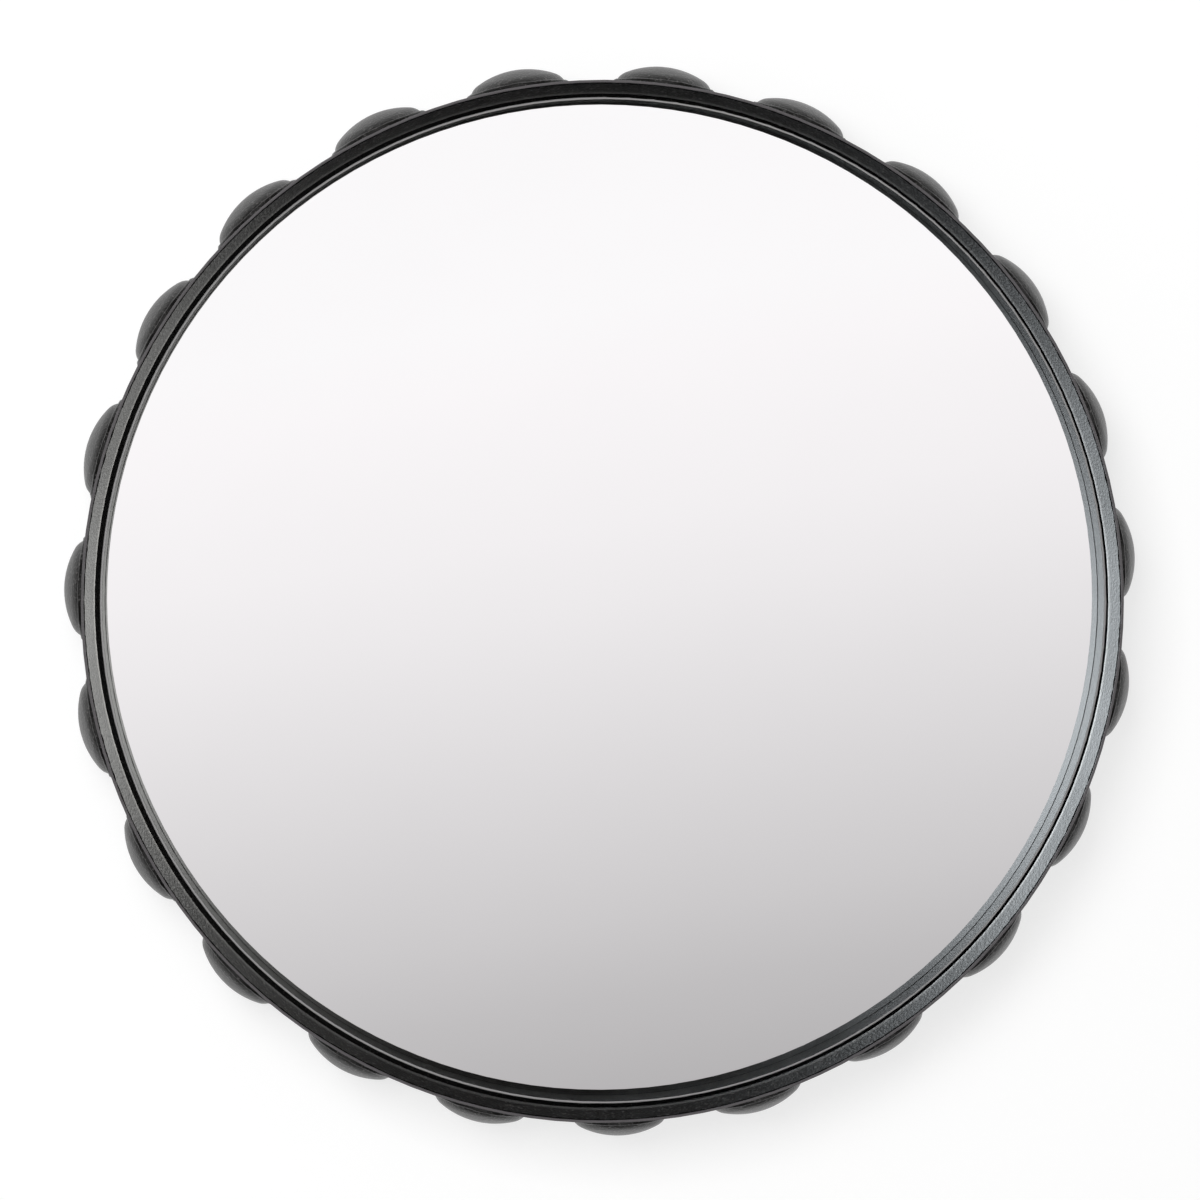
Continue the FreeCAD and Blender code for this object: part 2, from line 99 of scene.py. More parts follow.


# Powder coat, polyester baked on steel: a satin black with a fine grain over a slow orange-peel
# ripple, and a gloss that wanders with its thickness. Pale specks on the tops of the grain are a painted
# highlight. A strip with a painted highlight goes grey, or bare and metallic.
def powder_coat(name, highlight_y=0.0, highlight_depth=0.0, highlight_colour=None, bare=False):
    material, tree = blank_material(name)
    place = add_node(tree, "ShaderNodeTexCoord").outputs["Object"]
    grain = add_node(tree, "ShaderNodeTexNoise", {
        "Vector": place, "Scale": per_metre(GRAIN_MM), "Detail": 2.0})
    peel = add_node(tree, "ShaderNodeTexNoise", {
        "Vector": place, "Scale": per_metre(PEEL_MM), "Detail": 1.0})
    mottle = add_node(tree, "ShaderNodeTexNoise", {
        "Vector": place, "Scale": per_metre(MOTTLE_MM), "Detail": 3.0})
    fine = add_node(tree, "ShaderNodeBump", {
        "Height": grain.outputs["Fac"], "Strength": 1.0, "Distance": GRAIN_HEIGHT})
    relief = add_node(tree, "ShaderNodeBump", {
        "Height": peel.outputs["Fac"], "Strength": 0.5, "Distance": PEEL_HEIGHT,
        "Normal": fine.outputs["Normal"]})
    gloss = add_node(tree, "ShaderNodeMapRange", {
        "Value": mottle.outputs["Fac"], "From Min": 0.3, "From Max": 0.7, "To Min": 0.32, "To Max": 0.40})
    tone = add_node(tree, "ShaderNodeMix", {
        "Factor": mottle.outputs["Fac"], "A": linear(COAT_BLACK), "B": linear(COAT_THICK)},
        data_type="RGBA")
    # Painted highlight: pale specks on the tops of the grain.
    grain_highlight = add_node(tree, "ShaderNodeMapRange", {
        "Value": grain.outputs["Fac"], "From Min": 0.58, "From Max": 0.72, "To Min": 0.0, "To Max": 1.0})
    grain_highlighted = add_node(tree, "ShaderNodeMix", {
        "Factor": grain_highlight.outputs["Result"], "A": tone.outputs["Result"], "B": linear(GRAIN_HIGHLIGHT_GREY)},
        data_type="RGBA")
    colour = grain_highlighted.outputs["Result"]
    metal = 0.0
    # Painted highlight: a strip back from a given depth turns lighter, or bare metal.
    if highlight_colour:
        axes = add_node(tree, "ShaderNodeSeparateXYZ", {"Vector": place})
        highlight_strip = add_node(tree, "ShaderNodeMapRange", {
            "Value": axes.outputs["Y"], "From Min": highlight_y + highlight_depth,
            "From Max": highlight_y + highlight_depth / FULL_HIGHLIGHT_PARTS, "To Min": 0.0, "To Max": 1.0})
        strip_highlighted = add_node(tree, "ShaderNodeMix", {
            "Factor": highlight_strip.outputs["Result"], "A": colour, "B": linear(highlight_colour)},
            data_type="RGBA")
        colour = strip_highlighted.outputs["Result"]
        if bare:
            metal = highlight_strip.outputs["Result"]
    shader = add_node(tree, "ShaderNodeBsdfPrincipled", {
        "Base Color": colour, "Metallic": metal, "Roughness": gloss.outputs["Result"],
        "Normal": relief.outputs["Normal"], "IOR": POWDER_IOR, "Specular IOR Level": POWDER_SPECULAR})
    add_node(tree, "ShaderNodeOutputMaterial", {"Surface": shader.outputs["BSDF"]})
    return material


dress(node["outer_band"],
      powder_coat("powder_coated_steel_painted_highlight_edge", FRONT_Y, BAND_HIGHLIGHT_DEPTH, BAND_HIGHLIGHT_GREY))

# Domes: 23 hollow caps pressed from sheet steel, each with a narrow brim that follows the band.
# They are welded on round the outside and coated together with the band.

DOME_COUNT = 23
coat = powder_coat("powder_coated_steel")
for i in range(1, DOME_COUNT + 1):
    dress(node[f"dome_{i:02d}"], coat)

# Weld beads: the run of weld metal round the foot of each dome, over its brim, lumpy under the coat.
# A ring is laid to the band's curve, given its round section, copied to every dome and made uneven.

BAND_R = 0.2874
DOME_Y = -0.030
BEAD_R = 0.0275
BEAD_VERTICES = 128
BEAD_DROP = 0.02          # the ring starts this far off the band
BEAD_HEIGHT = 0.0011      # middle of the bead above the band
BEAD_SECTION_R = 0.0010
FIRST_ANGLE = 6.8         # degrees clockwise from the top
EVEN_STEP = 0.995 * 360 / DOME_COUNT    # a little under an even share, made up for by the last steps
EVEN_STEPS = 20
LAST_STEP = (360 - EVEN_STEPS * EVEN_STEP) / (DOME_COUNT - EVEN_STEPS)
LUMP_SIZE = 0.007
LUMP_HEIGHT = 0.0009
LUMP_MIDDLE = 0.45


# Each copy has its own mesh, and all are joined into one piece.
def join_copies(pattern, places):
    copies = []
    for place in places:
        copy = pattern.copy()
        copy.data = pattern.data.copy()
        copy.data.transform(place)
        bpy.context.collection.objects.link(copy)
        copies.append(copy)
    bpy.ops.object.select_all(action="DESELECT")
    for copy in copies:
        copy.select_set(True)
    bpy.context.view_layer.objects.active = copies[0]
    bpy.ops.object.join()
    return copies[0]


def make_uneven(piece, name, lump_size, lump_depth, height, middle):
    lumps = bpy.data.textures.new(name, "CLOUDS")
    lumps.noise_scale = lump_size
    lumps.noise_depth = lump_depth
    uneven = piece.modifiers.new("uneven", "DISPLACE")
    uneven.texture = lumps
    uneven.texture_coords = "LOCAL"
    uneven.strength = height
    uneven.mid_level = middle
    bpy.ops.object.modifier_apply(modifier="uneven")
    bpy.ops.object.shade_smooth()
    bpy.ops.object.select_all(action="DESELECT")


bpy.ops.mesh.primitive_circle_add(vertices=BEAD_VERTICES, radius=BEAD_R,
                                  location=(0, DOME_Y, BAND_R + BEAD_DROP))
bead = bpy.context.object
bpy.ops.object.transform_apply(location=True, rotation=True, scale=True)
lay = bead.modifiers.new("lay", "SHRINKWRAP")
lay.target = node["outer_band"]
lay.wrap_method = "PROJECT"
lay.use_project_z = True
lay.use_negative_direction = True
lay.use_positive_direction = False
lay.offset = BEAD_HEIGHT
bpy.ops.object.modifier_apply(modifier="lay")
bpy.ops.object.convert(target="CURVE")
bead.data.bevel_depth = BEAD_SECTION_R
bead.data.bevel_resolution = 3
bpy.ops.object.convert(target="MESH")
bead = bpy.context.object

turns = []
for i in range(DOME_COUNT):
    turn = min(i, EVEN_STEPS) * EVEN_STEP + max(0, i - EVEN_STEPS) * LAST_STEP
    turns.append(Matrix.Rotation(math.radians(turn + FIRST_ANGLE), 4, "Y"))
welds = join_copies(bead, turns)
bpy.data.objects.remove(bead)
welds.name = "dome_welds"
make_uneven(welds, "weld_lumps", LUMP_SIZE, lump_depth=2, height=LUMP_HEIGHT, middle=LUMP_MIDDLE)
dress(welds, coat)
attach(welds, "frame")

# Liner ring: narrow steel strip welded inside the band's front edge, slanting in and back. It is coated
# with the band, and its inner edge is painted as pale bare steel, a painted highlight for a bright line
# there.

LINER_BACK_Y = -0.0472
LINER_HIGHLIGHT_DEPTH = -0.0026    # forward from the back edge
# Painted highlight: pale bare steel along the liner's inner edge.
LINER_HIGHLIGHT_STEEL = "#7c7b7a"
dress(node["liner_ring"], powder_coat(
    "powder_coated_steel_painted_highlight_bare_edge", LINER_BACK_Y, LINER_HIGHLIGHT_DEPTH, LINER_HIGHLIGHT_STEEL, bare=True))

# Back ring: flat steel ring behind the glass that ties the mirror hoop to the band.
# It is the ledge that the board is screwed to, and is coated with the rest of the frame.

dress(node["back_ring"], coat)

# Ring tacks: short runs of weld in the corner between the back ring and the band, coated over.
# Each is a drop of metal drawn out along the corner, with the ripples that the weld pool leaves.

TACK_COUNT = 12
TACK_LENGTH = 0.018
TACK_HEIGHT = 0.0034
RIPPLE_HEIGHT = 0.0003
BAND_IN_R = 0.2859
ring_back_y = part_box("back_ring")[1].y
bpy.ops.mesh.primitive_uv_sphere_add(segments=32, ring_count=16, radius=0.5,
                                     rotation=(0, math.radians(90), 0))
tack = bpy.context.object
bpy.ops.object.transform_apply(location=True, rotation=True, scale=True)
bpy.ops.object.mode_set(mode="EDIT")
bpy.ops.mesh.select_all(action="SELECT")
bpy.ops.transform.resize(value=(TACK_LENGTH, TACK_HEIGHT, TACK_HEIGHT))
bpy.ops.mesh.subdivide(number_cuts=2)
bpy.ops.object.mode_set(mode="OBJECT")
ripples = bpy.data.textures.new("weld_ripples", "WOOD")
ripples.wood_type = "BANDS"
ripples.noise_basis_2 = "SIN"
pool = tack.modifiers.new("pool", "DISPLACE")
pool.texture = ripples
pool.texture_coords = "LOCAL"
pool.strength = RIPPLE_HEIGHT
bpy.ops.object.modifier_apply(modifier="pool")
bpy.ops.object.shade_smooth()
tack.data.transform(Matrix.Translation((0, ring_back_y, BAND_IN_R)))
tacks = join_copies(
    tack, [Matrix.Rotation(2 * math.pi * i / TACK_COUNT, 4, "Y") for i in range(TACK_COUNT)])
bpy.data.objects.remove(tack)
tacks.name = "ring_tacks"
bpy.ops.object.select_all(action="DESELECT")
dress(tacks, coat)
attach(tacks, "frame")

# Seam shade: a thin dull black strip laid in the joint between the liner's front edge and the band, as
# painted shade for the shadow line there. It is left uneven, so the joint reads as a broken dark line.

SEAM_R = 0.2857
SEAM_Y = -0.0589
SEAM_VERTICES = 1440
SEAM_SECTION_R = 0.00042
SEAM_LUMP_SIZE = 0.004
SEAM_LUMP_HEIGHT = 0.0008
SEAM_LUMP_MIDDLE = 0.5
bpy.ops.mesh.primitive_circle_add(vertices=SEAM_VERTICES, radius=SEAM_R, location=(0, SEAM_Y, 0),
                                  rotation=(math.radians(90), 0, 0))
seam = bpy.context.object
seam.name = "seam_painted_shade"
bpy.ops.object.transform_apply(location=True, rotation=True, scale=True)
bpy.ops.object.convert(target="CURVE")
seam.data.bevel_depth = SEAM_SECTION_R
seam.data.bevel_resolution = 1
bpy.ops.object.convert(target="MESH")
seam = bpy.context.object
make_uneven(seam, "seam_lumps", SEAM_LUMP_SIZE, lump_depth=1, height=SEAM_LUMP_HEIGHT, middle=SEAM_LUMP_MIDDLE)

# Painted shade for the seam: a dull black with hardly a shine, darker and lighter in soft patches.
SEAM_SHADE_BLACK = "#030303"
SEAM_SHADE_GREY = "#0c0b0b"
SEAM_PATCH_MM = 3.0
SEAM_PATCH_HEIGHT = 0.0002
seam_shade, seam_shade_tree = blank_material("black_seam_painted_shade")
seam_shade_place = add_node(seam_shade_tree, "ShaderNodeTexCoord").outputs["Object"]
seam_patches = add_node(seam_shade_tree, "ShaderNodeTexNoise", {
    "Vector": seam_shade_place, "Scale": per_metre(SEAM_PATCH_MM), "Detail": 2.0})
seam_shade_tone = add_node(seam_shade_tree, "ShaderNodeMix", {
    "Factor": seam_patches.outputs["Fac"], "A": linear(SEAM_SHADE_BLACK), "B": linear(SEAM_SHADE_GREY)},
    data_type="RGBA")
seam_shade_relief = add_node(seam_shade_tree, "ShaderNodeBump", {
    "Height": seam_patches.outputs["Fac"], "Strength": 0.6, "Distance": SEAM_PATCH_HEIGHT})
seam_shade_shader = add_node(seam_shade_tree, "ShaderNodeBsdfPrincipled", {
    "Base Color": seam_shade_tone.outputs["Result"], "Roughness": 0.85, "Specular IOR Level": 0.25,
    "Normal": seam_shade_relief.outputs["Normal"]})
add_node(seam_shade_tree, "ShaderNodeOutputMaterial", {"Surface": seam_shade_shader.outputs["BSDF"]})
dress(seam, seam_shade)
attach(seam, "frame")

# Mirror hoop: plain rolled steel hoop round the glass, tacked to the back ring and coated.
# Its front edge, the lip, is painted a lighter grey: a painted highlight for the light its rounded edge
# catches.

LIP_Y = -0.0432
LIP_HIGHLIGHT_DEPTH = 0.0002
# Painted highlight: the lighter grey of the lip.
LIP_HIGHLIGHT_GREY = "#979696"
dress(node["mirror_hoop"],
      powder_coat("powder_coated_steel_painted_highlight_lip", LIP_Y, LIP_HIGHLIGHT_DEPTH, LIP_HIGHLIGHT_GREY))

# Mirror glass: 4 mm float glass disc, silvered, with a ground edge.
# It lies inside the mirror hoop, held by tape on the board behind it.

# Silvered float glass: a clean, bright reflection in front. Behind the front corner it is ground,
# which gives a matt pale green.
GLASS_Y = -0.0187
SILVERED_DEPTH = 0.00025
SILVER = "#f9f8f9"
SILVER_BRIGHT = "#fbfafb"
GROUND_GREEN = "#7d8f87"
GROUND_PALE = "#a3b2aa"
BLOOM_MM = 90
GRIT_MM = 0.8         # real grit is about 0.1 mm, drawn coarser so that it shows
silver, silver_tree = blank_material("silvered_float_glass")
silver_place = add_node(silver_tree, "ShaderNodeTexCoord").outputs["Object"]
silver_axes = add_node(silver_tree, "ShaderNodeSeparateXYZ", {"Vector": silver_place})
bloom = add_node(silver_tree, "ShaderNodeTexNoise", {
    "Vector": silver_place, "Scale": per_metre(BLOOM_MM), "Detail": 3.0})
silver_tone = add_node(silver_tree, "ShaderNodeMix", {
    "Factor": bloom.outputs["Fac"], "A": linear(SILVER), "B": linear(SILVER_BRIGHT)}, data_type="RGBA")
face = add_node(silver_tree, "ShaderNodeBsdfPrincipled", {
    "Base Color": silver_tone.outputs["Result"], "Metallic": 1.0, "Roughness": 0.0})
grit = add_node(silver_tree, "ShaderNodeTexNoise", {
    "Vector": silver_place, "Scale": per_metre(GRIT_MM), "Detail": 2.0})
edge_tone = add_node(silver_tree, "ShaderNodeMix", {
    "Factor": grit.outputs["Fac"], "A": linear(GROUND_GREEN), "B": linear(GROUND_PALE)}, data_type="RGBA")
edge = add_node(silver_tree, "ShaderNodeBsdfPrincipled", {
    "Base Color": edge_tone.outputs["Result"], "Roughness": 0.55})
behind = add_node(silver_tree, "ShaderNodeMath", {
    0: silver_axes.outputs["Y"], 1: GLASS_Y + SILVERED_DEPTH}, operation="GREATER_THAN")
silver_mix = add_node(silver_tree, "ShaderNodeMixShader", {
    "Fac": behind.outputs["Value"], 1: face.outputs["BSDF"], 2: edge.outputs["BSDF"]})
add_node(silver_tree, "ShaderNodeOutputMaterial", {"Surface": silver_mix.outputs["Shader"]})
dress(node["mirror_glass"], silver)

# Glass tape: three double-sided strips of polyethylene foam, blown and cut from the roll.
# They stick the glass to the board.

# Polyethylene foam: a dull pale grey, full of fine cells.
FOAM_GREY = "#9a9a98"
FOAM_PALE = "#c8c8c4"
CELL_MM = 0.7
CELL_DEPTH = 0.0002
foam, foam_tree = blank_material("polyethylene_foam")
foam_place = add_node(foam_tree, "ShaderNodeTexCoord").outputs["Object"]
cells = add_node(foam_tree, "ShaderNodeTexVoronoi", {"Vector": foam_place, "Scale": per_metre(CELL_MM)})
foam_tone = add_node(foam_tree, "ShaderNodeMix", {
    "Factor": cells.outputs["Distance"], "A": linear(FOAM_GREY), "B": linear(FOAM_PALE)},
    data_type="RGBA")
foam_relief = add_node(foam_tree, "ShaderNodeBump", {
    "Height": cells.outputs["Distance"], "Strength": 0.5, "Distance": CELL_DEPTH})
foam_shader = add_node(foam_tree, "ShaderNodeBsdfPrincipled", {
    "Base Color": foam_tone.outputs["Result"], "Roughness": 0.9, "Normal": foam_relief.outputs["Normal"]})
add_node(foam_tree, "ShaderNodeOutputMaterial", {"Surface": foam_shader.outputs["BSDF"]})
dress(node["glass_tape"], foam)

# Backing board: 6 mm medium-density fibreboard disc, sawn round and left bare.
# It carries the glass and the hangers, and is screwed to the back ring's ledge.

# Bare fibreboard: pressed wood fibres lie flat and crossed, so the brown is flecked and the surface dull.
FIBRE_DARK = "#7a5a3c"
FIBRE_PALE = "#a98a66"
PRESSED_BROWN = "#94724f"
FIBRE_WIDTH = 0.0006          # real fibres are under 0.1 mm wide, drawn coarser so that they show
FIBRE_LENGTH = 0.005
FIBRE_LIES = (14, -47, 77)    # degrees from upright
FIBRE_HEIGHT = 0.0001
PATCH_MM = 70
board, board_tree = blank_material("bare_fibreboard")
board_place = add_node(board_tree, "ShaderNodeTexCoord").outputs["Object"]
fibres = 0.0
for lie in FIBRE_LIES:
    laid = add_node(board_tree, "ShaderNodeMapping", {
        "Vector": board_place, "Rotation": (0, math.radians(lie), 0),
        "Scale": (FIBRE_WIDTH, FIBRE_WIDTH, FIBRE_LENGTH)}, vector_type="TEXTURE")
    layer = add_node(board_tree, "ShaderNodeTexNoise", {
        "Vector": laid.outputs["Vector"], "Scale": 1.0, "Detail": 2.0})
    pile = add_node(board_tree, "ShaderNodeMath", {0: fibres, 1: layer.outputs["Fac"]}, operation="ADD")
    fibres = pile.outputs["Value"]
patches = add_node(board_tree, "ShaderNodeTexNoise", {
    "Vector": board_place, "Scale": per_metre(PATCH_MM), "Detail": 4.0})
fleck = add_node(board_tree, "ShaderNodeMapRange", {
    "Value": fibres, "From Min": 1.2, "From Max": 1.8, "To Min": 0.0, "To Max": 1.0})
fleck_tone = add_node(board_tree, "ShaderNodeMix", {
    "Factor": fleck.outputs["Result"], "A": linear(FIBRE_DARK), "B": linear(FIBRE_PALE)},
    data_type="RGBA")
board_tone = add_node(board_tree, "ShaderNodeMix", {
    "Factor": patches.outputs["Fac"], "A": fleck_tone.outputs["Result"], "B": linear(PRESSED_BROWN)},
    data_type="RGBA")
board_relief = add_node(board_tree, "ShaderNodeBump", {
    "Height": fibres, "Strength": 0.5, "Distance": FIBRE_HEIGHT})
board_shader = add_node(board_tree, "ShaderNodeBsdfPrincipled", {
    "Base Color": board_tone.outputs["Result"], "Roughness": 0.86,
    "Normal": board_relief.outputs["Normal"]})
add_node(board_tree, "ShaderNodeOutputMaterial", {"Surface": board_shader.outputs["BSDF"]})
dress(node["backing_board"], board)

# Hangers: two straps stamped from steel sheet, each with a rolled eye that holds a D-ring of bent wire.
# All four pieces are zinc plated and passivated, and the straps are screwed to the board.

# Zinc-plated steel: a pale bluish grey with faint yellow drifts, dulled in soft patches.
ZINC_BLUE = "#b9bdc2"
ZINC_YELLOW = "#c9c3ad"
DRIFT_MM = 9.0
SPANGLE_MM = 0.7      # the plating's real grain is far finer, drawn coarser so that it shows
SPANGLE_HEIGHT = 0.00004
zinc, zinc_tree = blank_material("zinc_plated_steel")
zinc_place = add_node(zinc_tree, "ShaderNodeTexCoord").outputs["Object"]
drift = add_node(zinc_tree, "ShaderNodeTexNoise", {
    "Vector": zinc_place, "Scale": per_metre(DRIFT_MM), "Detail": 4.0})
spangle = add_node(zinc_tree, "ShaderNodeTexNoise", {
    "Vector": zinc_place, "Scale": per_metre(SPANGLE_MM), "Detail": 2.0})
zinc_tone = add_node(zinc_tree, "ShaderNodeMix", {
    "Factor": drift.outputs["Fac"], "A": linear(ZINC_BLUE), "B": linear(ZINC_YELLOW)}, data_type="RGBA")
zinc_dull = add_node(zinc_tree, "ShaderNodeMapRange", {
    "Value": drift.outputs["Fac"], "From Min": 0.3, "From Max": 0.7, "To Min": 0.28, "To Max": 0.45})
zinc_relief = add_node(zinc_tree, "ShaderNodeBump", {
    "Height": spangle.outputs["Fac"], "Strength": 0.3, "Distance": SPANGLE_HEIGHT})
zinc_shader = add_node(zinc_tree, "ShaderNodeBsdfPrincipled", {
    "Base Color": zinc_tone.outputs["Result"], "Metallic": 1.0, "Roughness": zinc_dull.outputs["Result"],
    "Normal": zinc_relief.outputs["Normal"]})
add_node(zinc_tree, "ShaderNodeOutputMaterial", {"Surface": zinc_shader.outputs["BSDF"]})
for name in ("hanger_strap_left", "hanger_strap_right", "hanger_ring_left", "hanger_ring_right"):
    dress(node[name], zinc)

# Screws: 3.5 mm pan-head screws headed from steel wire, with a punched cross recess, zinc plated.
# Eight go through the back ring into the board, and two hold each hanger strap.

SHANK_R = 0.00175
SHANK_LENGTH = 0.0045
TIP_LENGTH = 0.0012
TIP_TAPER = 0.3
HEAD_R = 0.0036
HEAD_HEIGHT = 0.0022
HEAD_ROUND = 0.0012
HEAD_SIDES = 40
RECESS_ARM = 0.0043
RECESS_WIDTH = 0.0010
RECESS_DEPTH = 0.0015
RECESS_TAPER = 0.6
RECESS_TURN = 37          # each screw stops at another angle, degrees
SHARP_CORNER = 30         # degrees
BOARD_SCREW_STEP = 45     # degrees
FACING = 0.9              # least share of a normal that counts as pointing along Y


def pick_faces(obj, way):
    bpy.ops.object.mode_set(mode="EDIT")
    bpy.ops.mesh.select_mode(type="FACE")
    bpy.ops.mesh.select_all(action="DESELECT")
    bpy.ops.object.mode_set(mode="OBJECT")
    for face in obj.data.polygons:
        face.select = face.normal.y * way > FACING
    bpy.ops.object.mode_set(mode="EDIT")


bpy.ops.mesh.primitive_cylinder_add(vertices=HEAD_SIDES, radius=HEAD_R, depth=HEAD_HEIGHT,
                                    location=(0, HEAD_HEIGHT / 2, 0), rotation=(math.radians(90), 0, 0))
screw = bpy.context.object
bpy.ops.object.transform_apply(location=True, rotation=True, scale=True)
pick_faces(screw, 1)
bpy.ops.mesh.bevel(offset=HEAD_ROUND, segments=5, affect="EDGES")
pick_faces(screw, -1)
bpy.ops.mesh.inset(thickness=HEAD_R - SHANK_R)
bpy.ops.mesh.extrude_region_move(TRANSFORM_OT_translate={"value": (0, -SHANK_LENGTH, 0)})
bpy.ops.mesh.extrude_region_move(TRANSFORM_OT_translate={"value": (0, -TIP_LENGTH, 0)})
bpy.ops.transform.resize(value=(TIP_TAPER, 1, TIP_TAPER))
bpy.ops.object.mode_set(mode="OBJECT")
for arm in ((RECESS_ARM, 2 * RECESS_DEPTH, RECESS_WIDTH), (RECESS_WIDTH, 2 * RECESS_DEPTH, RECESS_ARM)):
    bpy.ops.mesh.primitive_cube_add(size=1, location=(0, HEAD_HEIGHT, 0), scale=arm)
    punch = bpy.context.object
    bpy.ops.object.transform_apply(location=True, rotation=True, scale=True)
    pick_faces(punch, -1)
    bpy.ops.transform.resize(value=(RECESS_TAPER, 1, RECESS_TAPER))
    bpy.ops.object.mode_set(mode="OBJECT")
    recess = screw.modifiers.new("recess", "BOOLEAN")
    recess.object = punch
    recess.solver = "EXACT"
    bpy.context.view_layer.objects.active = screw
    bpy.ops.object.modifier_apply(modifier="recess")
    bpy.data.objects.remove(punch)
bpy.ops.object.select_all(action="DESELECT")
screw.select_set(True)
bpy.ops.object.shade_smooth_by_angle(angle=math.radians(SHARP_CORNER))


def drive_screws(name, stands_for, seat_y, places):
    driven = []
    for i, (x, z) in enumerate(places):
        turned = Matrix.Rotation(math.radians(RECESS_TURN * i), 4, "Y")
        driven.append(Matrix.Translation((x, seat_y, z)) @ turned)
    screws = join_copies(screw, driven)
    bpy.ops.object.select_all(action="DESELECT")
    screws.name = name
    dress(screws, zinc)
    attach(screws, "frame")
    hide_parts(stands_for)


_, ring_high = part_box("board_screws")
circle_r = ring_high.x - HEAD_R
board_places = []
for degrees in range(0, 360, BOARD_SCREW_STEP):
    angle = math.radians(degrees)
    board_places.append((circle_r * math.sin(angle), circle_r * math.cos(angle)))
drive_screws("cross_head_board_screws", "board_screws", ring_high.y - HEAD_HEIGHT, board_places)
strap_low, strap_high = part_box("hanger_screws")
strap_places = [(x, z) for x in (strap_low.x + HEAD_R, strap_high.x - HEAD_R)
                for z in (strap_low.z + HEAD_R, strap_high.z - HEAD_R)]
drive_screws("cross_head_hanger_screws", "hanger_screws", strap_high.y - HEAD_HEIGHT, strap_places)
bpy.data.objects.remove(screw)

# Camera: a long lens almost three metres in front of the mirror.
# It stands a little left of the middle and above it, as the photograph was taken.

CAMERA_PLACE = (-0.1228, -2.8672, 0.1085)
CAMERA_AIM = (-0.00258, -0.060, 0.00189)
LENS_MM = 153.26
SENSOR_MM = 36
camera = bpy.data.objects.new("camera", bpy.data.cameras.new("camera"))
bpy.context.collection.objects.link(camera)
camera.location = CAMERA_PLACE
camera.rotation_euler = (Vector(CAMERA_AIM) - camera.location).to_track_quat("-Z", "Y").to_euler()
camera.data.lens = LENS_MM
camera.data.sensor_width = SENSOR_MM
bpy.context.scene.camera = camera

# Wall and floor: plain white studio wall just behind the mirror and a pale floor well below it.
# Both are seen from the front only and let lamps shine through, so the back shows in the other views.

WALL_Y = 0.0015
WALL_SIZE = 2.2
FLOOR_Z = -1.5
FLOOR_SIZE = 2.4
CLOSE_RAY = 0.012         # shorter rays, from pieces close to the wall, pass through it


# Matt studio paint: keeps the soft shadow, with some light of its own so that it shows white or pale.
def studio_paint(name, own_light, colour, mirrored_level):
    material, tree = blank_material(name)
    path = add_node(tree, "ShaderNodeLightPath")
    matt = add_node(tree, "ShaderNodeBsdfDiffuse", {"Color": linear(colour)})
    glow = add_node(tree, "ShaderNodeEmission", {"Color": (1, 1, 1, 1), "Strength": own_light})
    lit = add_node(tree, "ShaderNodeAddShader", {0: matt.outputs["BSDF"], 1: glow.outputs["Emission"]})
    white = add_node(tree, "ShaderNodeEmission", {"Color": (1, 1, 1, 1), "Strength": mirrored_level})
    shown = add_node(tree, "ShaderNodeMixShader", {
        "Fac": path.outputs["Is Camera Ray"], 1: matt.outputs["BSDF"], 2: lit.outputs["Shader"]})
    mirrored = add_node(tree, "ShaderNodeMath", {
        0: path.outputs["Is Glossy Ray"], 1: path.outputs["Is Transmission Ray"]}, operation="MAXIMUM")
    pick = add_node(tree, "ShaderNodeMixShader", {
        "Fac": mirrored.outputs["Value"], 1: shown.outputs["Shader"], 2: white.outputs["Emission"]})
    behind_it = add_node(tree, "ShaderNodeNewGeometry").outputs["Backfacing"]
    close_by = add_node(tree, "ShaderNodeMath", {
        0: path.outputs["Ray Length"], 1: CLOSE_RAY}, operation="LESS_THAN")
    unseen = add_node(tree, "ShaderNodeMath", {
        0: close_by.outputs["Value"], 1: path.outputs["Is Shadow Ray"]}, operation="MAXIMUM")
    passed = add_node(tree, "ShaderNodeMath", {
        0: behind_it, 1: unseen.outputs["Value"]}, operation="MAXIMUM")
    clear = add_node(tree, "ShaderNodeBsdfTransparent")
    one_way = add_node(tree, "ShaderNodeMixShader", {
        "Fac": passed.outputs["Value"], 1: pick.outputs["Shader"], 2: clear.outputs["BSDF"]})
    add_node(tree, "ShaderNodeOutputMaterial", {"Surface": one_way.outputs["Shader"]})
    return material


bpy.ops.mesh.primitive_plane_add(size=WALL_SIZE, location=(0, WALL_Y, 0),
                                 rotation=(math.radians(90), 0, 0))
wall = bpy.context.object
wall.name = "studio_wall"
dress(wall, studio_paint("white_wall_paint", own_light=0.72, colour="#989898", mirrored_level=1.0))
bpy.ops.mesh.primitive_plane_add(size=FLOOR_SIZE, location=(0, 0, FLOOR_Z))
floor = bpy.context.object
floor.name = "studio_floor"
dress(floor, studio_paint("pale_floor_paint", own_light=0.3, colour="#dcdcdc", mirrored_level=0.02))

# Lamps: a large softbox in front, to the upper left, gives the soft shadow on the wall.
# Another behind the wall, to the upper right, lights the views of the back.

LAMP_DISTANCE = 2.4
LAMP_SIZE = 1.2


def softbox(name, direction, watts):
    lamp = bpy.data.objects.new(name, bpy.data.lights.new(name, "AREA"))
    bpy.context.collection.objects.link(lamp)
    lamp.data.shape = "RECTANGLE"
    lamp.data.size = LAMP_SIZE
    lamp.data.size_y = LAMP_SIZE
    lamp.data.energy = watts
    lamp.location = Vector(direction).normalized() * LAMP_DISTANCE
    lamp.rotation_euler = (-lamp.location).to_track_quat("-Z", "Y").to_euler()
    lamp.visible_camera = False
    lamp.visible_glossy = False


softbox("key", direction=(-0.28, -0.92, 0.30), watts=40)
softbox("back_light", direction=(0.55, 0.75, 0.55), watts=50)

